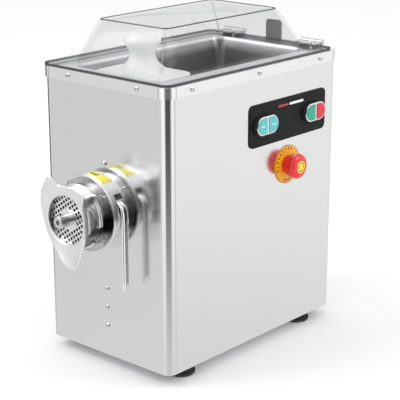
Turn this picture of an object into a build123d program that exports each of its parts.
from build123d import *
import math
import os

# Electric meat grinder: a stainless cabinet on four rubber feet, with a mincing head on its front,
# a hopper tray under a hinged clear hood on its top, and its controls on the right-hand side.
# Millimetres. The origin is on the floor, midway between the feet. +Z is up, -Y is the front
# (the mincing head), +X is the side with the controls.

os.makedirs("parts", exist_ok=True)

# ---------------------------------------------------------------- driving dimensions: cabinet
cabinet_width = 246.0          # X, outside the panels
cabinet_depth = 386.0          # Y, outside the panels
total_height = 505.0           # floor to the top of the hood
foot_height = 18.0             # floor to the underside of the cabinet
sheet = 1.5                    # stainless panels
corner_radius = 14.0           # upright corners of the cabinet
collar_height = 16.0           # trim band round the top of the cabinet
collar_thickness = 2.5
corner_cap_leg = 17.0          # how far each corner piece of the band runs along each side
base_thickness = 2.0
base_upstand = 12.0            # edge of the base plate, turned up inside the panels

# ---------------------------------------------------------------- feet
foot_radius = 21.0
foot_flange_height = 5.0
foot_neck_radius = 15.0
foot_inset_x = 28.0            # from the cabinet's side to the foot's axis
foot_inset_y = 55.0            # from the cabinet's front or rear to the foot's axis
foot_bore_radius = 8.0         # open mouth of the foot's counterbore
foot_bore_depth = 6.0
foot_head_seat_depth = 12.0    # from the floor to the seat of the foot screw's head
m6_radius = 3.0
m6_head_radius = 6.5
m6_nut_radius = 5.8
m6_nut_height = 5.0

# ---------------------------------------------------------------- hood and tray
hood_height = 67.0             # underside of the flange to the top
hood_flange = 5.5              # thickness of the flange
hood_wall = 3.0                # thickness of the dome
hood_overhang = 2.0            # flange beyond the cabinet at the front and the sides
hood_gap = 0.5                 # flange above the tray's rim
hood_rear_margin = 12.0        # cabinet's rear to the rear edge of the flange
dome_base_inset_x = 35.0       # cabinet's side to the foot of the dome
dome_base_front = 25.0         # cabinet's front to the foot of the dome
dome_base_rear = 34.0
dome_top_inset_x = 56.0
dome_top_front = 58.0
dome_top_rear = 78.0
dome_base_radius = 12.0
dome_top_radius = 9.0
pan_margin = 5.0               # foot of the dome to the edge of the pan, inside it
pan_radius = 22.0
pan_depth = 61.0
pan_draft = 7.0                # how much the pan narrows on each side, top to bottom
throat_radius = 26.0           # feed opening
throat_offset = 81.0           # cabinet's front to the axis of the feed opening
throat_wall = 2.0
throat_flange_radius = 36.0
throat_flange_thickness = 2.0

# ---------------------------------------------------------------- hood hinges
hinge_offset_x = 78.0
hinge_width = 42.0
hinge_pin_radius = 2.0
hinge_knuckle_radius = 4.5
hinge_leaf_thickness = 2.0
hinge_axis_inset = 6.0         # cabinet's rear to the hinge axis
hinge_axis_lift = 7.0          # underside of the flange to the hinge axis
hinge_moving_leaf_length = 24.0
hinge_gap = 0.5                # between knuckles, and from a knuckle to the fixed leaf
hood_stop_width = 30.0
hood_stop_height = 32.5
hood_stop_thickness = 3.0
hood_stop_foot = 2.0
hood_stop_clearance = 1.5      # hinge axis to the front of the stop

# ---------------------------------------------------------------- mincing head
head_height = 246.0            # floor to the head's axis
drum_wall = 12.0               # barrel to the outside of the drum
drum_length = 29.0
drum_step = 5.0                # how much narrower the drum is next to the front panel
drum_step_length = 9.0
drum_lip = 2.4
drum_recess = 3.0
drum_edge = 2.0                # slope at the drum's front rim
drum_screw_angles = (45, 135, 225, 315)
barrel_mouth_wall = 3.5        # round the plate, under the ring nut
barrel_mouth_length = 29.0
barrel_shoulder = 2.5          # behind the mouth, the barrel is this much thicker
barrel_rear_step = 4.0         # and behind the front panel it is this much slimmer
barrel_front = 69.0            # barrel's mouth, ahead of the front panel
barrel_thick_end = 43.0        # behind the front panel, where the barrel gets slimmer
barrel_rear = 121.0            # barrel's rear end, behind the front panel
barrel_rear_wall = 6.0
neck_wall = 8.0                # round the feed opening
neck_rise = 20.0               # top of the barrel to the top of its neck
neck_socket = 10.0             # how deep the feed tube goes into the neck
plate_radius = 39.0            # perforated plate
plate_thickness = 10.0
plate_proud = 2.0              # plate's face ahead of the barrel's mouth
plate_hole_radius = 2.25
plate_hole_pitch = 6.2
plate_hub_radius = 13.5
plate_hub_proud = 1.5
plate_slot_width = 5.0
plate_slot_depth = 3.0
knife_thickness = 7.0
knife_hub_radius = 15.0
knife_arm_width = 13.0
knife_bevel = 2.5
knife_clearance = 2.0          # tip of an arm to the edge of the plate
knife_arms = 4
worm_bore_step = 3.7           # worm's bore is this much narrower than the plate
worm_gap = 0.8                 # flight's edge to the barrel
worm_disc = 3.0                # seal disc behind the flight
worm_core_front = 12.0
worm_core_rear = 16.0
worm_pitch = 38.0
worm_flight = 4.5              # thickness of the flight
pin_radius = 9.0               # front stub of the worm
pin_proud = 21.0               # stub ahead of the plate
pin_socket_radius = 3.4
pin_socket_depth = 9.0
running_gap = 0.06             # radial clearance of every running fit
body_gap = 0.3                 # between curved faces that only pass each other

# ---------------------------------------------------------------- ring nut
nut_overlap = 4.0              # how far the nut's lip covers the plate
nut_lip = 7.0
nut_length = 28.0
nut_rim = 4.0                  # width of the nut's front rim
nut_wall = 2.6                 # ring's wall at the plate
nut_rear_wall = 7.7            # ring's wall at its rear rim
wing_reach = 66.0              # head's axis to the tip of a wing
wing_tip_radius = 13.0
wing_root = 7.0                # nut's opening to the outline of the wings' root
wing_thickness = 6.0
wing_sweep = 9.0               # tip ahead of root
wing_angle = 105.0             # from +X towards +Z

# ---------------------------------------------------------------- clamp lever
lever_pin_angle = 27.0         # round the head from +X towards +Z
lever_pin_radius = 3.0
lever_hub_radius = 5.6
lever_link = 0.12              # radians, how wide the lever's link to its hub is
lever_width = 13.0             # along Y
lever_thickness = 4.5
lever_drop = 106.0             # head's axis to the tip of the lever
lever_slot_gap = 0.5
lever_drum_gap = 0.6
lever_pin_reach = 5.0          # how far the pin goes into the drum beside the slot
lever_slot_low = 10.0          # angles where the slot in the drum begins and ends
lever_slot_high = 37.5
lever_offset_y = 21.0          # front panel to the lever's middle

# ---------------------------------------------------------------- drive
gear_module = 2.5
gear_teeth = 48
pinion_teeth = 12
pressure_angle = 20.0
gear_addendum = 1.85
pinion_addendum = 2.2
tooth_clearance = 0.7          # root of one gear to the tip of the other
backlash = 0.25
gear_width = 22.0
gearbox_wall = 5.0
gearbox_length = 46.0
gearbox_clearance = 3.0        # tip of a gear to the inside of the gearbox
gear_inset = 9.0               # inside face of the gearbox to the gear
gear_rim = 8.0                 # pitch circle to the edge of the gear's recess
gear_recess = 6.0
coupling_gap = 4.0             # barrel's rear end to the gearbox
journal_radius = 16.0
rear_journal_radius = 12.0
bush_wall = 4.0
motor_radius = 56.0
motor_wall = 8.0
motor_length = 115.0
motor_flange = 5.0
motor_fins = 28
motor_fin_height = 3.0
motor_fin_inset = 10.0         # bare stretch at each end of the motor
rotor_radius = 38.0
air_gap = 0.6
core_length = 75.0
core_inset = 20.0              # motor's flange to its core
motor_shaft_radius = 8.0
fan_radius = 44.0
fan_width = 12.0
fan_blades = 9
fan_blade = 2.0
fan_hub_radius = 15.0
fan_inset = 4.0                # end shield to the fan
cowl_length = 28.0
cowl_wall = 2.0
cowl_slots = 7
cowl_slot_width = 5.0
cowl_slot_pitch = 12.0
cowl_slot_border = 10.0

# ---------------------------------------------------------------- controls
plate_length = 183.0           # control plate, along Y
plate_height = 64.0
plate_sheet = 1.5
plate_corner = 9.0
controls_y = 70.5              # middle of the control plate and of the emergency stop
plate_z = 351.0
switch_spacing = 116.0         # between the two double push-buttons
switch_length = 49.0
switch_width = 28.0
switch_base_height = 4.0
switch_bezel_height = 4.0
bezel_wall = 2.0
bezel_bar = 3.6                # bar between the two caps of a pair
cap_proud = 1.0
cap_gap = 0.3
cap_depth = 4.6                # thickness of a cap
cap_travel = 3.0
cap_stem_radius = 2.5
cap_stem_offset = 6.0
neck_radius = 11.0             # standard 22 mm panel hole
neck_length = 12.0
contact_block_height = 34.0
contact_block_width = 30.0
contact_block_depth = 28.0
contact_gap = 8.0              # end of a button's neck to its contact block
stop_z = 279.0                 # emergency stop
stop_disc_radius = 29.5
stop_disc_sheet = 1.5
stop_collar_radius = 14.0
stop_collar_height = 7.0
stop_head_radius = 19.0
stop_head_front = 27.5         # cabinet's side to the front of the mushroom
stop_head_rear = 8.5
stop_skirt_depth = 7.5
stop_travel = 5.0
stop_plunger_radius = 5.0
stop_recess_radius = 10.0      # shallow seat for the head's round mark
stop_recess_depth = 0.6
stop_plunger_seat = 4.5        # front of the mushroom to the plunger's end

# ---------------------------------------------------------------- pusher
pusher_gap = 1.0               # piston to the feed opening
pusher_worm_gap = 5.5          # piston's end to the worm
pusher_plate_width = 130.0     # guard plate, a rounded rectangle inside the pan
pusher_plate_depth = 94.0
pusher_plate_corner = 28.0
pusher_plate_edge = 3.0
pusher_plate_drop = 6.5        # tray's rim to the top of the guard plate
pusher_bell_radius = 46.0      # foot of the bell, on the guard plate
pusher_sleeve_radius = 40.0    # sleeve that stands on the pan's floor
pusher_sleeve_wall = 3.0
pusher_waist_radius = 18.2
pusher_waist_rise = 27.0       # guard plate to the waist
pusher_knob_radius = 27.0
pusher_knob_drop = 13.0        # top of the pusher to the widest part of its knob
pusher_headroom = 10.7         # top of the pusher to the inside of the hood

# ---------------------------------------------------------------- small fasteners
m4_radius = 2.0
m4_head_radius = 3.6
m4_head_height = 2.0
recess_width = 0.9
recess_length = 4.0
recess_depth = 1.0
collar_screw_margin = 47.5     # cabinet's front or rear to the outer screws of a side band
collar_screw_front_x = 68.0
m5_radius = 2.5
socket_head_radius = 4.4
socket_head_height = 4.0
socket_radius = 2.4
stud_height = 312.0
stud_radius = 3.6
front_screw_heights = (122.6, 93.5, 64.4)

# ---------------------------------------------------------------- rear panel, inlet, bracket
rear_panel_width = 200.0
rear_panel_bottom = 30.0
rear_panel_top = 410.0
rear_opening_border = 12.0     # panel's edge to the opening behind it
vent_count = 7
vent_length = 110.0
vent_height = 4.0
vent_pitch = 14.0
vent_bottom = 60.0
gland_y = 140.0
gland_z = 70.0
gland_radius = 9.0
gland_bore_radius = 5.0
gland_proud = 20.0
gland_nut_radius = 14.0
support_width = 70.0
support_plate = 4.0
support_foot = 24.0
barrel_support_inset = 30.0    # barrel's rear end to its support
motor_support_inset = 8.0
capacitor_radius = 20.0
capacitor_length = 80.0
relay_box = (44.0, 110.0, 60.0)

# ---------------------------------------------------------------- derived radii of the head
barrel_mouth_radius = plate_radius + barrel_mouth_wall
barrel_radius = barrel_mouth_radius + barrel_shoulder
barrel_rear_radius = barrel_radius - barrel_rear_step
worm_bore_radius = plate_radius - worm_bore_step
worm_flight_radius = worm_bore_radius - worm_gap
drum_radius = barrel_radius + drum_wall
drum_screw_pitch_radius = (drum_radius - drum_lip + barrel_radius) / 2
lever_pin_pitch_radius = (drum_radius + barrel_radius) / 2
nut_opening_radius = plate_radius - nut_overlap
nut_bore_radius = barrel_mouth_radius + body_gap
nut_rear_radius = nut_bore_radius + nut_rear_wall
pusher_radius = throat_radius - pusher_gap

# ---------------------------------------------------------------- derived heights and planes
front_y = -cabinet_depth / 2
rear_y = cabinet_depth / 2
side_x = cabinet_width / 2
hood_bottom = total_height - hood_height
rim_top = hood_bottom - hood_gap
shell_top = rim_top - sheet
collar_bottom = rim_top - collar_height
foot_x = side_x - foot_inset_x
foot_y = rear_y - foot_inset_y
base_top = foot_height + base_thickness
flange_top = hood_bottom + hood_flange
pan_floor = rim_top - pan_depth
throat_y = front_y + throat_offset
neck_top = head_height + barrel_radius + neck_rise
hinge_y = rear_y - hinge_axis_inset
hinge_z = hood_bottom + hinge_axis_lift
drum_rear_y = front_y - drum_step_length
drum_front_y = drum_rear_y - drum_length
barrel_front_y = front_y - barrel_front
barrel_rear_y = front_y + barrel_rear
plate_front_y = barrel_front_y - plate_proud
plate_rear_y = plate_front_y + plate_thickness
knife_rear_y = plate_rear_y + knife_thickness
gearbox_front_y = barrel_rear_y + coupling_gap
gearbox_rear_y = gearbox_front_y + gearbox_length
gear_front_y = gearbox_front_y + gearbox_wall + gear_inset
gear_rear_y = gear_front_y + gear_width
pitch_radius = gear_module * gear_teeth / 2
pinion_pitch_radius = gear_module * pinion_teeth / 2
motor_z = head_height - pitch_radius - pinion_pitch_radius
cover_rear_y = gearbox_rear_y + gearbox_wall
motor_front_y = cover_rear_y
motor_tube_y = motor_front_y + motor_flange
motor_rear_y = motor_tube_y + motor_length
shield_rear_y = motor_rear_y + motor_flange
lever_y = front_y - lever_offset_y
lever_pin_x = lever_pin_pitch_radius * math.cos(math.radians(lever_pin_angle))
lever_pin_z = head_height + lever_pin_pitch_radius * math.sin(math.radians(lever_pin_angle))
plate_face_x = side_x + plate_sheet
bezel_face_x = plate_face_x + switch_base_height + switch_bezel_height
cap_face_x = bezel_face_x + cap_proud
disc_face_x = side_x + stop_disc_sheet
neck_end_x = side_x - neck_length
pusher_plate_top = rim_top - pusher_plate_drop
pusher_plate_bottom = pusher_plate_top - pusher_plate_edge
pusher_bottom = head_height + worm_flight_radius + pusher_worm_gap
pusher_top = total_height - hood_wall - pusher_headroom


# ---------------------------------------------------------------- shape helpers
def block(x0, x1, y0, y1, z0, z1):
    """Box between two corners."""
    return Pos((x0 + x1) / 2, (y0 + y1) / 2, (z0 + z1) / 2) * Box(x1 - x0, y1 - y0, z1 - z0)


def rod_x(radius, x0, x1, y, z):
    return Pos((x0 + x1) / 2, y, z) * Rot(0, 90, 0) * Cylinder(radius, x1 - x0)


def rod_y(radius, y0, y1, x, z):
    return Pos(x, (y0 + y1) / 2, z) * Rot(90, 0, 0) * Cylinder(radius, y1 - y0)


def rod_z(radius, z0, z1, x, y):
    return Pos(x, y, (z0 + z1) / 2) * Cylinder(radius, z1 - z0)


def tube_y(outer, inner, y0, y1, x, z):
    return rod_y(outer, y0, y1, x, z) - rod_y(inner, y0, y1, x, z)


def turned_x(points, y, z):
    """Solid of revolution about a line along X, from (x, radius) points."""
    profile = make_face(Polyline(*points, close=True))
    return Pos(0, y, z) * revolve(profile, Axis.X)


def turned_y(points, x, z):
    """Solid of revolution about a line along Y, from (radius, y) points."""
    profile = make_face(Polyline(*points, close=True))
    return Pos(x, 0, z) * revolve(profile, Axis.Y)


def along_y(sketch, y0, y1):
    """Extrude a sketch drawn in (x, z) between two depths."""
    return Pos(0, y1, 0) * Rot(90, 0, 0) * extrude(sketch, y1 - y0)


def along_x(sketch, x0, x1):
    """Extrude a sketch drawn in (y, z) between two widths."""
    return Pos(x0, 0, 0) * Rot(0, 0, 90) * Rot(90, 0, 0) * extrude(sketch, x1 - x0)


def upright_tube(width, depth, radius, wall, z0, z1):
    """Rounded rectangular tube standing between two heights."""
    outer = RectangleRounded(width, depth, radius)
    inner = RectangleRounded(width - 2 * wall, depth - 2 * wall, radius - wall)
    return Pos(0, 0, z0) * extrude(outer - inner, z1 - z0)


def save(name, shape):
    export_step(shape, f"parts/{name}.step")


# ---------------------------------------------------------------- fasteners, head towards +Z
def pan_screw(length):
    """Cross-recessed screw; its head sits on the plane z = 0 and its shank runs down."""
    head = Pos(0, 0, m4_head_height / 2) * Cylinder(m4_head_radius, m4_head_height)
    head = fillet(head.edges().group_by(Axis.Z)[-1], m4_head_height * 0.6)
    slot_z = m4_head_height - recess_depth / 2
    for turn in (0, 90):
        head -= Pos(0, 0, slot_z) * Rot(0, 0, turn) * Box(recess_length, recess_width, recess_depth)
    return head + Pos(0, 0, -length / 2) * Cylinder(m4_radius, length)


def socket_screw(length):
    """Hexagon-socket screw; its head sits on the plane z = 0 and its shank runs down."""
    head = Pos(0, 0, socket_head_height / 2) * Cylinder(socket_head_radius, socket_head_height)
    head = chamfer(head.edges().group_by(Axis.Z)[-1], 0.5)
    socket = extrude(RegularPolygon(socket_radius, 6), socket_head_height * 0.6)
    head -= Pos(0, 0, socket_head_height * 0.4) * socket
    return head + Pos(0, 0, -length / 2) * Cylinder(m5_radius, length)


TO_FRONT = Rot(90, 0, 0)
TO_REAR = Rot(-90, 0, 0)
TO_RIGHT = Rot(0, 90, 0)
TO_LEFT = Rot(0, -90, 0)


def group(solids):
    return Compound(children=list(solids))


# ---------------------------------------------------------------- places that repeat
def side_screw_ys():
    return (front_y + collar_screw_margin, 0.0, rear_y - collar_screw_margin)


def collar_screw_places():
    """Places and directions of the screws that hold the band round the cabinet."""
    z = collar_bottom + collar_height / 2
    places = []
    for y in side_screw_ys():
        places.append(Pos(side_x + collar_thickness, y, z) * TO_RIGHT)
        places.append(Pos(-side_x - collar_thickness, y, z) * TO_LEFT)
    for x in (-collar_screw_front_x, collar_screw_front_x):
        places.append(Pos(x, front_y - collar_thickness, z) * TO_FRONT)
        places.append(Pos(x, rear_y + collar_thickness, z) * TO_REAR)
    return places


def rear_screw_places():
    edge = rear_opening_border / 2
    places = []
    for x in (-rear_panel_width / 2 + edge, rear_panel_width / 2 - edge):
        for z in (rear_panel_bottom + edge, rear_panel_top - edge):
            places.append(Pos(x, rear_y + sheet, z) * TO_REAR)
    return places


def front_screw_places():
    return [Pos(0, front_y, z) * TO_FRONT for z in front_screw_heights]


def drum_screw_places():
    places = []
    for turn in drum_screw_angles:
        x = drum_screw_pitch_radius * math.cos(math.radians(turn))
        z = head_height + drum_screw_pitch_radius * math.sin(math.radians(turn))
        places.append((x, z))
    return places


def foot_places():
    return {
        "foot_front_left": (-foot_x, -foot_y),
        "foot_front_right": (foot_x, -foot_y),
        "foot_rear_left": (-foot_x, foot_y),
        "foot_rear_right": (foot_x, foot_y),
    }


def switch_ys():
    return {
        "front": controls_y - switch_spacing / 2,
        "rear": controls_y + switch_spacing / 2,
    }


collar_screw_length = collar_thickness + sheet + 2.5
rear_screw_length = sheet * 2 + 2.5
front_screw_length = sheet + 2.5


# ---------------------------------------------------------------- cabinet
def cabinet_shell():
    """Wrap-round panels with the openings for the head, the controls and the rear panel."""
    shell = upright_tube(cabinet_width, cabinet_depth, corner_radius, sheet, foot_height, shell_top)
    shell -= rod_y(barrel_radius, front_y - 1, front_y + sheet + 1, 0, head_height)
    for x, z in drum_screw_places():
        shell -= rod_y(m5_radius, front_y - 1, front_y + sheet + 1, x, z)
    for place in collar_screw_places() + front_screw_places() + rear_screw_places():
        shell -= place * Pos(0, 0, -6) * Cylinder(m4_radius, 12)
    shell -= rod_y(m4_radius, front_y - 1, front_y + sheet + 1, 0, stud_height)
    half = rear_panel_width / 2 - rear_opening_border
    low = rear_panel_bottom + rear_opening_border
    high = rear_panel_top - rear_opening_border
    shell -= block(-half, half, rear_y - sheet - 1, rear_y + 1, low, high)
    for y in switch_ys().values():
        shell -= rod_x(neck_radius, side_x - sheet - 1, side_x + 1, y, plate_z)
    shell -= rod_x(neck_radius, side_x - sheet - 1, side_x + 1, controls_y, stop_z)
    shell -= rod_x(gland_radius, -side_x - 1, -side_x + sheet + 1, gland_y, gland_z)
    return shell


def rear_panel():
    """Removable panel with ventilation slots, outside the rear opening."""
    half = rear_panel_width / 2
    panel = block(-half, half, rear_y, rear_y + sheet, rear_panel_bottom, rear_panel_top)
    for i in range(vent_count):
        z = vent_bottom + i * vent_pitch
        slot = Pos(0, z) * SlotOverall(vent_length, vent_height)
        panel -= along_y(slot, rear_y - 1, rear_y + sheet + 1)
    for place in rear_screw_places():
        panel -= place * Pos(0, 0, -6) * Cylinder(m4_radius, 12)
    return panel


def base_plate():
    """Floor of the cabinet, with an edge turned up inside the panels."""
    width = cabinet_width - 2 * sheet
    depth = cabinet_depth - 2 * sheet
    radius = corner_radius - sheet
    plate = Pos(0, 0, foot_height) * extrude(RectangleRounded(width, depth, radius), base_thickness)
    plate += upright_tube(width, depth, radius, base_thickness, foot_height, base_top + base_upstand)
    for x, y in foot_places().values():
        plate -= rod_z(m6_radius, foot_height - 1, base_top + 1, x, y)
    return plate


def foot(x, y):
    """Rubber foot: a wide pad, a conical neck and a counterbore for its screw."""
    points = (
        (foot_bore_radius, 0), (foot_radius - 1.5, 0), (foot_radius, 1.5),
        (foot_radius, foot_flange_height), (foot_neck_radius + 2, foot_flange_height + 1.5),
        (foot_neck_radius, foot_height), (m6_radius, foot_height),
        (m6_radius, foot_head_seat_depth), (m6_head_radius + 0.5, foot_head_seat_depth),
        (m6_head_radius + 0.5, foot_bore_depth), (foot_bore_radius, foot_bore_depth),
    )
    profile = make_face(Polyline(*[(r, 0, z) for r, z in points], close=True))
    return Pos(x, y, 0) * revolve(profile, Axis.Z)


def foot_screw(x, y):
    head = rod_z(m6_head_radius, foot_bore_depth + 1, foot_head_seat_depth, x, y)
    shank = rod_z(m6_radius, foot_head_seat_depth, base_top + m6_nut_height + 2, x, y)
    return head + shank


def foot_nut(x, y):
    nut = extrude(RegularPolygon(m6_nut_radius, 6), m6_nut_height)
    nut -= Cylinder(m6_radius, 3 * m6_nut_height)
    return Pos(x, y, base_top) * nut


def foot_fixings():
    """A screw and a nut for each foot."""
    pieces = []
    for x, y in foot_places().values():
        pieces += [foot_screw(x, y), foot_nut(x, y)]
    return pieces


def cabinet_screws():
    """Equal cross-recessed screws of the band, the front and the rear panel."""
    screws = [p * pan_screw(collar_screw_length) for p in collar_screw_places()]
    screws += [p * pan_screw(rear_screw_length) for p in rear_screw_places()]
    return screws + [p * pan_screw(front_screw_length) for p in front_screw_places()]


def collar():
    """Whole trim band, before it is parted into runs and corner pieces."""
    band = upright_tube(
        cabinet_width + 2 * collar_thickness,
        cabinet_depth + 2 * collar_thickness,
        corner_radius + collar_thickness,
        collar_thickness,
        collar_bottom,
        rim_top,
    )
    for place in collar_screw_places():
        band -= place * Pos(0, 0, -6) * Cylinder(m4_radius, 12)
    return band


def corner_cap_x():
    return side_x + collar_thickness - corner_cap_leg


def corner_cap_y():
    return rear_y + collar_thickness - corner_cap_leg


def collar_strip(x_sign, y_sign):
    """One straight run of the band: the side where x_sign or y_sign isn't 0."""
    cx = corner_cap_x()
    cy = corner_cap_y()
    far = cabinet_width + cabinet_depth
    if x_sign:
        keep = block(0, far, -cy, cy, 0, total_height)
    else:
        keep = Rot(0, 0, 90) * block(0, far, -cx, cx, 0, total_height)
    turn = 180 if x_sign + y_sign < 0 else 0
    return collar() & (Rot(0, 0, turn) * keep)


def corner_cap(x_sign, y_sign):
    far = cabinet_width + cabinet_depth
    xs = sorted((x_sign * corner_cap_x(), x_sign * far))
    ys = sorted((y_sign * corner_cap_y(), y_sign * far))
    return collar() & block(xs[0], xs[1], ys[0], ys[1], 0, total_height)


# ---------------------------------------------------------------- tray and feed throat
def dome_plan(inset_x, front, rear):
    """Width, depth and middle of a rectangle inside the cabinet's outline."""
    width = cabinet_width - 2 * inset_x
    depth = cabinet_depth - front - rear
    return width, depth, (front - rear) / 2


def tapered(low, high):
    """Solid between two rounded rectangles, each (width, depth, middle y, radius, z)."""
    faces = []
    for width, depth, middle, radius, z in (low, high):
        faces.append(Pos(0, middle, z) * RectangleRounded(width, depth, radius))
    return loft(faces, ruled=True)


def hopper_tray():
    """Drawn pan whose rim covers the top of the cabinet, with the feed opening in its floor."""
    width, depth, middle = dome_plan(dome_base_inset_x + pan_margin, dome_base_front + pan_margin,
                                     dome_base_rear + pan_margin)
    low_width = width - 2 * pan_draft
    low_depth = depth - 2 * pan_draft
    rim = Pos(0, 0, shell_top) * extrude(
        RectangleRounded(cabinet_width, cabinet_depth, corner_radius), sheet)
    outside = tapered(
        (low_width + 2 * sheet, low_depth + 2 * sheet, middle, pan_radius, pan_floor - sheet),
        (width + 2 * sheet, depth + 2 * sheet, middle, pan_radius, rim_top),
    )
    inside = tapered(
        (low_width, low_depth, middle, pan_radius - sheet, pan_floor),
        (width, depth, middle, pan_radius - sheet, rim_top),
    )
    tray = rim + outside - inside
    return tray - rod_z(throat_radius, pan_floor - 2 * sheet, pan_floor + 1, 0, throat_y)


def throat_tube():
    """Feed tube from under the pan down into the neck of the barrel."""
    top = pan_floor - sheet
    bottom = neck_top - neck_socket
    tube = rod_z(throat_radius + throat_wall, bottom, top, 0, throat_y)
    tube += rod_z(throat_flange_radius, top - throat_flange_thickness, top, 0, throat_y)
    return tube - rod_z(throat_radius, bottom - 1, top + 1, 0, throat_y)


# ---------------------------------------------------------------- hood
def hood():
    """Clear hood: a flat flange and a dome with four sloping sides."""
    width = cabinet_width + 2 * hood_overhang
    front = front_y - hood_overhang
    back = rear_y - hood_rear_margin
    base_w, base_d, base_y = dome_plan(dome_base_inset_x, dome_base_front, dome_base_rear)
    top_w, top_d, top_y = dome_plan(dome_top_inset_x, dome_top_front, dome_top_rear)
    flange = Pos(0, (front + back) / 2, hood_bottom) * extrude(
        RectangleRounded(width, back - front, corner_radius), hood_flange)
    outside = tapered(
        (base_w, base_d, base_y, dome_base_radius, flange_top),
        (top_w, top_d, top_y, dome_top_radius, total_height),
    )
    wall = 2 * hood_wall
    inner_base = (base_w - wall, base_d - wall, base_y, dome_base_radius - hood_wall, flange_top)
    inner_top = (top_w - wall, top_d - wall, top_y, dome_top_radius - hood_wall,
                 total_height - hood_wall)
    well = Pos(0, base_y, hood_bottom - 1) * extrude(
        RectangleRounded(base_w - wall, base_d - wall, dome_base_radius - hood_wall),
        hood_flange + 1)
    body = flange + outside - well - tapered(inner_base, inner_top)
    for place in hood_screw_places():
        body -= place * Cylinder(m4_radius, 4 * hood_flange)
    return body


def hood_screw_places():
    """Two screws in each moving hinge leaf, through the flange."""
    y = hinge_y - hinge_moving_leaf_length + 6
    z = flange_top + hinge_leaf_thickness
    xs = [side * hinge_offset_x + step for side in (-1, 1) for step in (-12, 12)]
    return [Pos(x, y, z) for x in xs]


def knuckle_span():
    """Width of the moving knuckle, and the two stretches of the fixed ones."""
    third = hinge_width / 3
    return third, third / 2 + hinge_gap, hinge_width / 2


def hinge_base(x):
    """Fixed leaf: a plate on the tray's rim carrying the two outer knuckles."""
    leaf_top = rim_top + hinge_leaf_thickness
    half = hinge_width / 2
    leaf = block(x - half, x + half, hinge_y - 3.5, rear_y, rim_top, leaf_top)
    start = knuckle_span()[1]
    for side in (-1, 1):
        xs = sorted((x + side * start, x + side * half))
        leaf += block(xs[0], xs[1], hinge_y - 3, hinge_y + 3, leaf_top, hinge_z)
        leaf += rod_x(hinge_knuckle_radius, xs[0], xs[1], hinge_y, hinge_z)
        leaf -= rod_x(hinge_pin_radius, xs[0] - 1, xs[1] + 1, hinge_y, hinge_z)
    return leaf


def hinge_leaf(x):
    """Moving leaf: a plate on the hood's flange with the middle knuckle."""
    half = hinge_width / 2
    third = knuckle_span()[0]
    knuckle = rod_x(hinge_knuckle_radius, x - third / 2, x + third / 2, hinge_y, hinge_z)
    start = hinge_y - hinge_moving_leaf_length
    leaf_top = flange_top + hinge_leaf_thickness
    end = hinge_y - hinge_knuckle_radius - hinge_gap - 1
    leaf = block(x - half, x + half, start, end, flange_top, leaf_top)
    leaf += block(x - third / 2, x + third / 2, end - 1, hinge_y, flange_top, leaf_top)
    leaf += knuckle
    leaf -= rod_x(hinge_pin_radius + running_gap, x - third, x + third, hinge_y, hinge_z)
    for place in hood_screw_places():
        leaf -= place * Cylinder(m4_radius, 3 * hinge_leaf_thickness)
    return leaf


def hinge_pin(x):
    half = hinge_width / 2
    return rod_x(hinge_pin_radius, x - half - 1, x + half + 1, hinge_y, hinge_z)


def hood_stop():
    """Upright tab behind the hood, on which the open hood leans."""
    front = hinge_y + hood_stop_clearance
    half = hood_stop_width / 2
    plan = Pos(0, rim_top + hood_stop_height / 2) * Rectangle(hood_stop_width, hood_stop_height)
    tab = along_y(plan, front, front + hood_stop_thickness)
    tab = fillet(tab.edges().filter_by(Axis.Y).group_by(Axis.Z)[-1], 6)
    return tab + block(-half, half, front, rear_y, rim_top, rim_top + hood_stop_foot)


# ---------------------------------------------------------------- mincing head
def head_drum():
    """Cast clamp housing on the front panel; the barrel passes through it."""
    lip_inner = drum_radius - drum_lip
    step_radius = drum_radius - drum_step
    points = (
        (barrel_radius, front_y), (step_radius, front_y), (step_radius, drum_rear_y),
        (drum_radius - 1, drum_rear_y), (drum_radius, drum_rear_y - 1),
        (drum_radius, drum_front_y + drum_edge), (drum_radius - drum_edge / 2, drum_front_y),
        (lip_inner, drum_front_y), (lip_inner, drum_front_y + drum_recess),
        (barrel_radius, drum_front_y + drum_recess),
    )
    drum = turned_y(points, 0, head_height)
    for x, z in drum_screw_places():
        drum -= rod_y(m5_radius, drum_front_y - 1, front_y + 1, x, z)
        seat = drum_front_y + drum_recess + socket_head_height
        drum -= rod_y(socket_head_radius, drum_front_y, seat, x, z)
    half = lever_width / 2 + lever_slot_gap
    drum -= along_y(slot_sector(), lever_y - half, lever_y + half)
    reach = half + lever_pin_reach
    return drum - rod_y(lever_pin_radius, lever_y - reach, lever_y + reach, lever_pin_x, lever_pin_z)


def slot_sector():
    """Sector of the drum's wall that is cut away for the lever."""
    far = drum_radius * 1.3
    corners = [(0, 0)]
    for angle in (lever_slot_low, lever_slot_high):
        corners.append((far * math.cos(math.radians(angle)), far * math.sin(math.radians(angle))))
    wedge = make_face(Polyline(*corners, close=True))
    return Pos(0, head_height) * (wedge - Circle(barrel_radius))


def drum_screw(x, z):
    seat = drum_front_y + drum_recess + socket_head_height
    return Pos(x, seat, z) * TO_FRONT * socket_screw(front_y - seat + sheet + 3)


def lever_pin():
    reach = lever_width / 2 + lever_slot_gap + lever_pin_reach
    return rod_y(lever_pin_radius, lever_y - reach, lever_y + reach, lever_pin_x, lever_pin_z)


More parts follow.
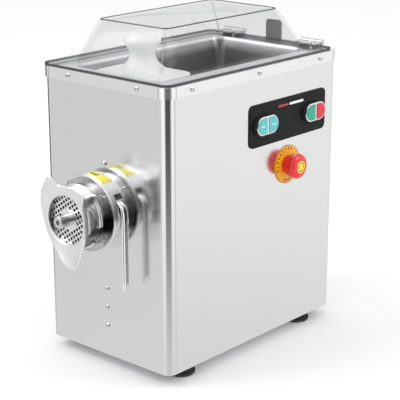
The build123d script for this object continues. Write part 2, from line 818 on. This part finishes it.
def clamp_lever():
    """Eccentric lever: hub on its pin, an arm round the drum and a straight handle."""
    inner = drum_radius + lever_drum_gap
    outer = inner + lever_thickness
    angle = math.radians(lever_pin_angle - 2)
    hub_x = lever_pin_x
    hub_z = lever_pin_z - head_height
    band = Circle(outer) - Circle(inner)
    band &= make_face(Polyline(
        (0, 0), (2 * outer, 0),
        (2 * outer * math.cos(angle), 2 * outer * math.sin(angle)), close=True))
    handle = Pos((inner + outer) / 2, -lever_drop / 2) * Rectangle(lever_thickness, lever_drop)
    hub = Pos(hub_x, hub_z) * Circle(lever_hub_radius)
    link = make_face(Polyline(
        (hub_x, hub_z + lever_hub_radius * 0.8), (outer * math.cos(angle), outer * math.sin(angle)),
        (outer * math.cos(angle - lever_link), outer * math.sin(angle - lever_link)),
        (hub_x, hub_z - lever_hub_radius * 0.8), close=True))
    outline = Pos(0, head_height) * (band + handle + hub + link)
    half = lever_width / 2
    lever = along_y(outline, lever_y - half, lever_y + half)
    tip = lever.edges().filter_by(Axis.X).group_by(Axis.Z)[0]
    lever = fillet(tip, half * 0.8)
    bore = lever_pin_radius + running_gap
    return lever - rod_y(bore, lever_y - lever_width, lever_y + lever_width, lever_pin_x, lever_pin_z)


def head_stud():
    """Domed stud above the head."""
    head = Pos(0, front_y, stud_height) * TO_FRONT * Pos(0, 0, 1.5) * Cylinder(stud_radius, 3)
    head = fillet(head.edges().group_by(Axis.Y)[0], 1.8)
    return head + rod_y(m4_radius, front_y, front_y + sheet + 3, 0, stud_height)


def barrel():
    """Mincer body: plate seat, worm bore, rear bearing wall and feed neck."""
    step = front_y + barrel_thick_end
    body = rod_y(barrel_mouth_radius, barrel_front_y, step, 0, head_height)
    body += rod_y(barrel_radius, barrel_front_y + barrel_mouth_length, step, 0, head_height)
    body += rod_y(barrel_rear_radius, step, barrel_rear_y, 0, head_height)
    body += rod_z(throat_radius + neck_wall, head_height, neck_top, 0, throat_y)
    seat = plate_radius + running_gap
    body -= rod_y(seat, barrel_front_y - 1, knife_rear_y, 0, head_height)
    bore_end = barrel_rear_y - barrel_rear_wall
    body -= rod_y(worm_bore_radius, knife_rear_y - 1, bore_end, 0, head_height)
    body -= rod_z(throat_radius, head_height, neck_top + 1, 0, throat_y)
    body -= rod_z(throat_radius + throat_wall, neck_top - neck_socket, neck_top + 1, 0, throat_y)
    return body - rod_y(journal_radius + running_gap, bore_end - 1, barrel_rear_y + 1, 0, head_height)


def worm():
    """Feed worm: front stub, tapered core with one flight, seal disc and rear journal."""
    tip = plate_front_y - pin_proud
    disc = barrel_rear_y - barrel_rear_wall - 1
    core = turned_y((
        (0, tip), (pin_radius - 1, tip), (pin_radius, tip + 1), (pin_radius, knife_rear_y),
        (worm_core_front, knife_rear_y), (worm_core_rear, disc - worm_disc),
        (worm_flight_radius, disc - worm_disc), (worm_flight_radius, disc),
        (journal_radius, disc), (journal_radius, gearbox_front_y), (0, gearbox_front_y),
    ), 0, head_height)
    core -= rod_y(pin_socket_radius, tip - 1, tip + pin_socket_depth, 0, head_height)
    start = knife_rear_y + worm_flight
    length = disc - worm_disc - worm_flight - start
    inner = worm_core_front - 2
    outer = worm_flight_radius
    middle = (inner + outer) / 2
    path = Helix(worm_pitch, length, middle)
    section = Plane(origin=path @ 0, z_dir=path % 0, x_dir=(1, 0, 0)) * Rectangle(
        outer - inner, worm_flight)
    flight = sweep(section, path=path, is_frenet=True)
    flight &= Cylinder(outer, 3 * length)
    return core + Pos(0, start + length, head_height) * Rot(90, 0, 0) * flight


def knife():
    """Cross-shaped knife between the worm and the plate."""
    middle = (plate_rear_y + knife_rear_y) / 2
    blade = rod_y(knife_hub_radius, plate_rear_y, knife_rear_y, 0, head_height)
    reach = plate_radius - knife_clearance
    for i in range(knife_arms):
        arm = Pos(reach / 2, 0, 0) * Box(reach, knife_thickness, knife_arm_width)
        arm = chamfer(arm.edges().filter_by(Axis.X).group_by(Axis.Y)[-1], knife_bevel)
        blade += Pos(0, middle, head_height) * Rot(0, i * 360 / knife_arms, 0) * arm
    return blade - rod_y(pin_radius, plate_rear_y - 1, knife_rear_y + 1, 0, head_height)


def plate_hole_places():
    """Square grid of holes, kept clear of the plate's hub and of its rim."""
    steps = int(plate_radius / plate_hole_pitch)
    places = []
    for i in range(-steps, steps + 1):
        for j in range(-steps, steps + 1):
            x = i * plate_hole_pitch
            z = j * plate_hole_pitch
            distance = math.hypot(x, z)
            if plate_hub_radius + plate_hole_radius < distance < nut_opening_radius + 0.5:
                places.append((x, z))
    return places


def cutting_plate():
    """Perforated plate with a hub, a centre hole and a key slot in its edge."""
    plate = Circle(plate_radius) - Circle(pin_radius + running_gap)
    plate -= Locations(*plate_hole_places()) * Circle(plate_hole_radius)
    plate = Pos(0, head_height) * Rot(0, 0, wing_angle / 3) * plate
    plate = along_y(plate, plate_front_y, plate_rear_y)
    boss = tube_y(plate_hub_radius, pin_radius + running_gap, plate_front_y - plate_hub_proud,
                  plate_front_y, 0, head_height)
    slot = block(-plate_slot_width / 2, plate_slot_width / 2, plate_front_y - 1, plate_rear_y + 1,
                 head_height - plate_radius - 1, head_height - plate_radius + plate_slot_depth)
    return plate + boss - slot


def ring_nut():
    """Ring nut that clamps the plate: a tapered ring with two swept wings."""
    front = plate_front_y - nut_lip
    rear = front + nut_length
    rim = nut_opening_radius + nut_rim
    body = turned_y((
        (0, front), (rim, front), (rim + 2.5, front + 2),
        (nut_bore_radius + nut_wall, plate_front_y + 1), (nut_rear_radius - 1, rear - 8),
        (nut_rear_radius, rear - 3), (nut_rear_radius - 0.5, rear), (0, rear),
    ), 0, head_height)
    body += wings(front)
    body -= rod_y(nut_opening_radius, front - wing_sweep - wing_thickness, rear, 0, head_height)
    return body - rod_y(nut_bore_radius, plate_front_y, rear + 1, 0, head_height)


def wing_outline():
    """Front view of both lobes, narrowing from the ring to their tips."""
    tip_centre = wing_reach - wing_tip_radius
    root = Circle(nut_opening_radius + wing_root)
    outline = root
    for turn in (wing_angle, wing_angle + 180):
        dx = tip_centre * math.cos(math.radians(turn))
        dz = tip_centre * math.sin(math.radians(turn))
        lobe = root + Pos(dx, dz) * Circle(wing_tip_radius)
        outline += make_hull(lobe.edges())
    return outline


def wings(front):
    """Two lobes cut from a shallow forward cone."""
    root_y = front + 4
    tip_y = root_y - wing_sweep
    inner = nut_opening_radius - 3
    cone = turned_y((
        (inner, root_y), (wing_reach + 1, tip_y),
        (wing_reach + 1, tip_y + wing_thickness), (inner, root_y + wing_thickness),
    ), 0, head_height)
    outline = Pos(0, head_height) * wing_outline()
    return cone & along_y(outline, front - wing_sweep - wing_thickness, front + nut_length)


# ---------------------------------------------------------------- gears
def involute(angle):
    return math.tan(angle) - angle


def gear_outline(teeth, addendum, mate_addendum):
    """Spur gear outline with involute flanks; one tooth is centred on +X."""
    radius = gear_module * teeth / 2
    base = radius * math.cos(math.radians(pressure_angle))
    root = radius - mate_addendum - tooth_clearance
    tip = radius + addendum
    half = (math.pi * gear_module / 2 - backlash) / (2 * radius)
    flank_start = max(base, root)
    flank = []
    for i in range(4):
        r = flank_start + (tip - flank_start) * i / 3
        spread = half + involute(math.radians(pressure_angle)) - involute(math.acos(min(1, base / r)))
        flank.append((r, spread))
    if root < base:
        flank.insert(0, (root, flank[0][1]))
    points = []
    for tooth in range(teeth):
        centre = 2 * math.pi * tooth / teeth
        polar = [(r, centre - s) for r, s in flank] + [(r, centre + s) for r, s in reversed(flank)]
        points += [(r * math.cos(a), r * math.sin(a)) for r, a in polar]
    return make_face(Polyline(*points, close=True))


def output_gear():
    """Large gear and its shaft, joined face to face to the worm's journal."""
    gear = Rot(0, 0, -90) * gear_outline(gear_teeth, gear_addendum, pinion_addendum)
    wheel = along_y(Pos(0, head_height) * gear, gear_front_y, gear_rear_y)
    outer = pitch_radius - gear_rim
    inner = journal_radius + gear_rim
    for y0, y1 in ((gear_front_y, gear_front_y + gear_recess), (gear_rear_y - gear_recess, gear_rear_y)):
        wheel -= tube_y(outer, inner, y0, y1, 0, head_height)
    wheel += rod_y(journal_radius, gearbox_front_y, gear_front_y + 1, 0, head_height)
    return wheel + rod_y(rear_journal_radius, gear_rear_y - 1, cover_rear_y, 0, head_height)


def pinion_outline():
    """Pinion turned so that a gap faces the large gear."""
    turn = 90 + 180 / pinion_teeth
    return Rot(0, 0, turn) * gear_outline(pinion_teeth, pinion_addendum, gear_addendum)


def gearbox_plan(offset):
    """Outline round both gears, at a distance from their tips."""
    big = pitch_radius + gear_addendum + gearbox_clearance + offset
    small = pinion_pitch_radius + pinion_addendum + gearbox_clearance + offset
    circles = Pos(0, head_height) * Circle(big) + Pos(0, motor_z) * Circle(small)
    return make_hull(circles.edges())


def gearbox_housing():
    """Cast box with a wall towards the barrel and a seat for the output bush."""
    box = along_y(gearbox_plan(gearbox_wall), gearbox_front_y, gearbox_rear_y)
    box -= along_y(gearbox_plan(0), gearbox_front_y + gearbox_wall, gearbox_rear_y + 1)
    seat = journal_radius + running_gap + bush_wall
    return box - rod_y(seat, gearbox_front_y - 1, gearbox_front_y + gearbox_wall + 1, 0, head_height)


def gearbox_cover():
    cover = along_y(gearbox_plan(gearbox_wall), gearbox_rear_y, cover_rear_y)
    seat = rear_journal_radius + running_gap + bush_wall
    cover -= rod_y(seat, gearbox_rear_y - 1, cover_rear_y + 1, 0, head_height)
    return cover - rod_y(motor_shaft_radius + 1, gearbox_rear_y - 1, cover_rear_y + 1, 0, motor_z)


def output_bush():
    inner = journal_radius + running_gap
    return tube_y(inner + bush_wall, inner, gearbox_front_y, gearbox_front_y + gearbox_wall + 2,
                  0, head_height)


def rear_bush():
    inner = rear_journal_radius + running_gap
    return tube_y(inner + bush_wall, inner, gearbox_rear_y - 2, cover_rear_y, 0, head_height)


# ---------------------------------------------------------------- motor
def motor_housing():
    """Finned motor tube; its front flange carries the shaft and meets the gearbox cover."""
    tube = tube_y(motor_radius, motor_radius - motor_wall, motor_tube_y, motor_rear_y, 0, motor_z)
    for i in range(motor_fins):
        fin = Pos(motor_radius + motor_fin_height / 2 - 0.5, (motor_tube_y + motor_rear_y) / 2, 0)
        fin *= Box(motor_fin_height + 1, motor_length - 2 * motor_fin_inset, 2)
        tube += Pos(0, 0, motor_z) * Rot(0, i * 360 / motor_fins, 0) * fin
    bearing = motor_shaft_radius + running_gap
    return tube + tube_y(motor_radius, bearing, motor_front_y, motor_tube_y, 0, motor_z)


def stator_core():
    start = motor_tube_y + core_inset
    return tube_y(motor_radius - motor_wall, rotor_radius + air_gap, start, start + core_length,
                  0, motor_z)


def motor_shield():
    """Rear end shield with the shaft's bearing hole."""
    return tube_y(motor_radius, motor_shaft_radius + running_gap, motor_rear_y, shield_rear_y,
                  0, motor_z)


def rotor():
    """Shaft, pinion and rotor core, turned as one piece."""
    start = motor_tube_y + core_inset
    end = shield_rear_y + fan_inset + fan_width + 2
    shaft = rod_y(motor_shaft_radius, gear_front_y - 2, end, 0, motor_z)
    shaft += rod_y(rotor_radius, start, start + core_length, 0, motor_z)
    return shaft + along_y(Pos(0, motor_z) * pinion_outline(), gear_front_y - 1, gear_rear_y + 1)


def fan():
    start = shield_rear_y + fan_inset
    hub = tube_y(fan_hub_radius, motor_shaft_radius, start, start + fan_width, 0, motor_z)
    disc = tube_y(fan_radius, fan_hub_radius - 1, start, start + fan_blade, 0, motor_z)
    wheel = hub + disc
    root = fan_hub_radius - 1
    for i in range(fan_blades):
        blade = Pos((fan_radius + root) / 2, start + fan_width / 2, 0)
        blade *= Box(fan_radius - root - 1, fan_width, fan_blade)
        wheel += Pos(0, 0, motor_z) * Rot(0, i * 360 / fan_blades, 0) * blade
    return wheel


def fan_cowl():
    """Cup over the fan with a slotted end."""
    end = shield_rear_y + cowl_length
    cup = rod_y(motor_radius, shield_rear_y, end, 0, motor_z)
    cup -= rod_y(motor_radius - cowl_wall, shield_rear_y - 1, end - cowl_wall, 0, motor_z)
    for i in range(cowl_slots):
        x = (i - (cowl_slots - 1) / 2) * cowl_slot_pitch
        half = math.sqrt((motor_radius - cowl_slot_border) ** 2 - x ** 2)
        x0 = x - cowl_slot_width / 2
        cup -= block(x0, x0 + cowl_slot_width, end - 2 * cowl_wall, end + 1,
                     motor_z - half, motor_z + half)
    return cup


def saddle(y, radius, axis_z):
    """Upright support with a foot on the base plate, cut to a round body."""
    half = support_width / 2
    web = block(-half, half, y, y + support_plate, base_top, axis_z - radius * 0.6)
    foot_part = block(-half, half, y, y + support_foot, base_top, base_top + support_plate)
    return web + foot_part - rod_y(radius, y - 1, y + support_foot + 1, 0, axis_z)


# ---------------------------------------------------------------- electrics
def relay_enclosure():
    width, depth, height = relay_box
    x0 = -side_x + sheet + base_thickness + 6
    return block(x0, x0 + width, -depth / 2 - 60, depth / 2 - 60, base_top, base_top + height)


def start_capacitor():
    x = side_x - sheet - base_thickness - 6 - capacitor_radius
    z = base_top + capacitor_radius
    can = rod_y(capacitor_radius, -capacitor_length / 2, capacitor_length / 2, x, z)
    return can + rod_y(capacitor_radius * 0.7, capacitor_length / 2, capacitor_length / 2 + 8, x, z)


def cable_gland():
    """Cable inlet through the left-hand panel."""
    outside = -side_x
    body = rod_x(gland_radius, outside - 8, outside + sheet + 8, gland_y, gland_z)
    hexagon = RegularPolygon(gland_nut_radius, 6)
    body += along_x(Pos(gland_y, gland_z) * hexagon, outside - 8, outside)
    nose = turned_x((
        (outside - gland_proud, gland_bore_radius), (outside - gland_proud, gland_radius - 1),
        (outside - gland_proud + 2, gland_radius + 1), (outside - 8, gland_radius + 2),
        (outside - 8, gland_bore_radius),
    ), gland_y, gland_z)
    body += nose
    bore = gland_bore_radius
    return body - rod_x(bore, outside - gland_proud - 1, outside + sheet + 9, gland_y, gland_z)


def gland_nut():
    inside = -side_x + sheet
    nut = along_x(Pos(gland_y, gland_z) * RegularPolygon(gland_nut_radius, 6), inside, inside + 6)
    return nut - rod_x(gland_radius, inside - 1, inside + 7, gland_y, gland_z)


# ---------------------------------------------------------------- controls
def control_plate():
    """Black plate behind the two double push-buttons."""
    plan = Pos(controls_y, plate_z) * RectangleRounded(plate_length, plate_height, plate_corner)
    plate = along_x(plan, side_x, plate_face_x)
    for y in switch_ys().values():
        plate -= rod_x(neck_radius, side_x - 1, plate_face_x + 1, y, plate_z)
    return plate


def cap_plan(y, side, grow):
    """Half of the oval that one cap fills, widened by grow."""
    oval = SlotOverall(switch_length - 2 * (bezel_wall - grow), switch_width - 2 * (bezel_wall - grow))
    start = bezel_bar / 2 - grow
    keep = Pos(side * (start + switch_length / 2), 0) * Rectangle(switch_length, 2 * switch_width)
    return Pos(y, plate_z) * (oval & keep)


def switch_oval(y, shrink):
    oval = SlotOverall(switch_length - 2 * shrink, switch_width - 2 * shrink)
    return Pos(y, plate_z) * oval


def switch_base(y):
    """Black base of a double push-button, with its threaded neck through the panel."""
    base = along_x(switch_oval(y, 0.6), plate_face_x, plate_face_x + switch_base_height)
    base += rod_x(neck_radius, neck_end_x, plate_face_x + 1, y, plate_z)
    for side in (-1, 1):
        pocket = cap_plan(y, side, 0)
        floor = cap_face_x - cap_depth - cap_travel - 0.5
        base -= along_x(pocket, floor, plate_face_x + switch_base_height + 1)
        stem_y = y + side * cap_stem_offset
        hole = cap_stem_radius + cap_gap
        base -= rod_x(hole, neck_end_x - 1, cap_face_x, stem_y, plate_z)
    return base


def switch_bezel(y):
    """Bright frame round the two caps."""
    low = plate_face_x + switch_base_height
    frame = along_x(switch_oval(y, 0), low, bezel_face_x)
    frame = chamfer(frame.faces().sort_by(Axis.X)[-1].edges(), 0.8)
    for side in (-1, 1):
        frame -= along_x(cap_plan(y, side, 0), low - 1, bezel_face_x + 1)
    return frame


def switch_cap(y, side):
    """One cap, with the stem that works its contact."""
    cap = along_x(cap_plan(y, side, -cap_gap), cap_face_x - cap_depth, cap_face_x)
    cap = chamfer(cap.faces().sort_by(Axis.X)[-1].edges(), 0.5)
    stem_y = y + side * cap_stem_offset
    end = neck_end_x + 1
    return cap + rod_x(cap_stem_radius, end, cap_face_x - cap_depth + 1, stem_y, plate_z)


def panel_nut(y, z):
    inside = side_x - sheet
    nut = along_x(Pos(y, z) * RegularPolygon(neck_radius + 4, 8), inside - 5, inside)
    return nut - rod_x(neck_radius, inside - 6, inside + 1, y, z)


def contact_block(y, z):
    """Contact block on two legs behind a button's neck, clear of its moving stem."""
    top = neck_end_x - contact_gap
    half_y = contact_block_width / 2
    half_z = contact_block_height / 2
    body = block(top - contact_block_depth, top, y - half_y, y + half_y, z - half_z, z + half_z)
    for side in (-1, 1):
        zs = sorted((z + side * (neck_radius - 3), z + side * (neck_radius - 1)))
        body += block(top - 1, neck_end_x, y - 4, y + 4, zs[0], zs[1])
    return body


def contact_places():
    places = [(y, plate_z) for y in switch_ys().values()]
    return places + [(controls_y, stop_z)]


def contact_pieces():
    pieces = []
    for y, z in contact_places():
        pieces += [panel_nut(y, z), contact_block(y, z)]
    return pieces


def stop_disc():
    """Round yellow plate behind the emergency stop."""
    disc = rod_x(stop_disc_radius, side_x, disc_face_x, controls_y, stop_z)
    disc = chamfer(disc.edges().group_by(Axis.X)[-1], 0.5)
    return disc - rod_x(neck_radius, side_x - 1, disc_face_x + 1, controls_y, stop_z)


def stop_body():
    """Collar and neck of the emergency stop, with the plunger's bore."""
    top = disc_face_x + stop_collar_height
    body = rod_x(stop_collar_radius, disc_face_x, top, controls_y, stop_z)
    body += rod_x(neck_radius, neck_end_x, disc_face_x + 1, controls_y, stop_z)
    bore = stop_plunger_radius + running_gap
    return body - rod_x(bore, neck_end_x - 1, top + 1, controls_y, stop_z)


def stop_plunger():
    end = side_x + stop_head_front - stop_plunger_seat - 0.5
    return rod_x(stop_plunger_radius, neck_end_x - 1, end, controls_y, stop_z)


def stop_head():
    """Mushroom: a domed disc with a skirt that runs over the collar."""
    rear = side_x + stop_head_rear
    front = side_x + stop_head_front
    inner = stop_collar_radius + 1
    bore = stop_plunger_radius + running_gap
    floor = rear + stop_skirt_depth
    seat = front - stop_plunger_seat
    return turned_x((
        (rear, inner), (rear, stop_head_radius - 2.5), (rear + 3, stop_head_radius - 1.5),
        (rear + 6, stop_head_radius - 1), (rear + 9, stop_head_radius - 0.4),
        (front - 6, stop_head_radius), (front - 3.5, stop_head_radius - 1),
        (front - 1.5, stop_head_radius - 3.4), (front, stop_head_radius - 8),
        (front, stop_recess_radius), (front - stop_recess_depth, stop_recess_radius),
        (front - stop_recess_depth, 0), (seat, 0), (seat, bore), (floor, bore), (floor, inner),
    ), controls_y, stop_z)


# ---------------------------------------------------------------- pusher
def pusher():
    """White pusher: knob, waist, bell, guard plate, sleeve and the piston in the feed opening."""
    waist_z = pusher_plate_top + pusher_waist_rise
    knob_z = pusher_top - pusher_knob_drop
    neck = Spline(
        (pusher_bell_radius, 0, pusher_plate_top),
        (pusher_bell_radius * 0.66, 0, pusher_plate_top + 8),
        (pusher_waist_radius, 0, waist_z),
        (pusher_waist_radius + 4, 0, (waist_z + knob_z) / 2),
        (pusher_knob_radius, 0, knob_z),
        (pusher_knob_radius * 0.72, 0, pusher_top - 3),
        (0, 0, pusher_top),
        tangents=((-1, 0, 0.15), (-1, 0, 0)),
    )
    sleeve_inner = pusher_sleeve_radius - pusher_sleeve_wall
    rest = Polyline(
        (0, 0, pusher_top), (0, 0, pusher_bottom), (pusher_radius - 2, 0, pusher_bottom),
        (pusher_radius, 0, pusher_bottom + 2), (pusher_radius, 0, pusher_plate_bottom),
        (sleeve_inner, 0, pusher_plate_bottom), (sleeve_inner, 0, pan_floor),
        (pusher_sleeve_radius, 0, pan_floor), (pusher_sleeve_radius, 0, pusher_plate_bottom),
        (pusher_bell_radius, 0, pusher_plate_bottom), (pusher_bell_radius, 0, pusher_plate_top),
    )
    body = Pos(0, throat_y, 0) * revolve(make_face([neck, rest]), Axis.Z)
    plan = RectangleRounded(pusher_plate_width, pusher_plate_depth, pusher_plate_corner)
    plan -= Circle(pusher_bell_radius - 1)
    return body + Pos(0, throat_y, pusher_plate_bottom) * extrude(plan, pusher_plate_edge)


# ---------------------------------------------------------------- write every piece
def save_cabinet():
    save("cabinet_shell", cabinet_shell())
    save("rear_panel", rear_panel())
    save("base_plate", base_plate())
    for name, (x, y) in foot_places().items():
        save(name, foot(x, y))
    save("foot_fixings", group(foot_fixings()))
    save("collar_strips", group(collar_strip(x, y) for x, y in ((0, -1), (0, 1), (-1, 0), (1, 0))))
    save("corner_caps", group(corner_cap(x, y) for x in (-1, 1) for y in (-1, 1)))
    save("cabinet_screws", group(cabinet_screws()))


def save_hood():
    save("hopper_tray", hopper_tray())
    save("throat_tube", throat_tube())
    save("hood", hood())
    length = hood_flange + hinge_leaf_thickness
    save("hood_screws", group(p * pan_screw(length) for p in hood_screw_places()))
    save("hinge_base_left", hinge_base(-hinge_offset_x))
    save("hinge_base_right", hinge_base(hinge_offset_x))
    save("hinge_leaf_left", hinge_leaf(-hinge_offset_x))
    save("hinge_leaf_right", hinge_leaf(hinge_offset_x))
    save("pivot_pins", group((hinge_pin(-hinge_offset_x), hinge_pin(hinge_offset_x), lever_pin())))
    save("hood_stop", hood_stop())
    save("pusher", pusher())


def save_head():
    save("head_drum", head_drum())
    save("drum_screws", group(drum_screw(x, z) for x, z in drum_screw_places()))
    save("head_stud", head_stud())
    save("clamp_lever", clamp_lever())
    save("barrel", barrel())
    save("worm", worm())
    save("knife", knife())
    save("cutting_plate", cutting_plate())
    save("ring_nut", ring_nut())


def save_drive():
    save("gearbox_housing", gearbox_housing())
    save("gearbox_cover", gearbox_cover())
    save("gearbox_bushes", group((output_bush(), rear_bush())))
    save("output_gear", output_gear())
    save("motor_housing", motor_housing())
    save("stator_core", stator_core())
    save("motor_shield", motor_shield())
    save("rotor", rotor())
    save("fan", fan())
    save("fan_cowl", fan_cowl())
    save("drive_supports", group((
        saddle(barrel_rear_y - barrel_support_inset, barrel_rear_radius, head_height),
        saddle(motor_rear_y - motor_support_inset, motor_radius, motor_z),
    )))
    save("relay_enclosure", relay_enclosure())
    save("start_capacitor", start_capacitor())
    save("cable_gland", group((cable_gland(), gland_nut())))


def save_controls():
    save("control_plate", control_plate())
    for place, y in switch_ys().items():
        save(f"switch_base_{place}", switch_base(y))
        save(f"switch_bezel_{place}", switch_bezel(y))
        save(f"cap_{place}_left", switch_cap(y, -1))
        save(f"cap_{place}_right", switch_cap(y, 1))
    save("switch_contacts", group(contact_pieces()))
    save("stop_disc", stop_disc())
    save("stop_body", stop_body())
    save("stop_plunger", stop_plunger())
    save("stop_head", stop_head())


save_cabinet()
save_hood()
save_head()
save_drive()
save_controls()
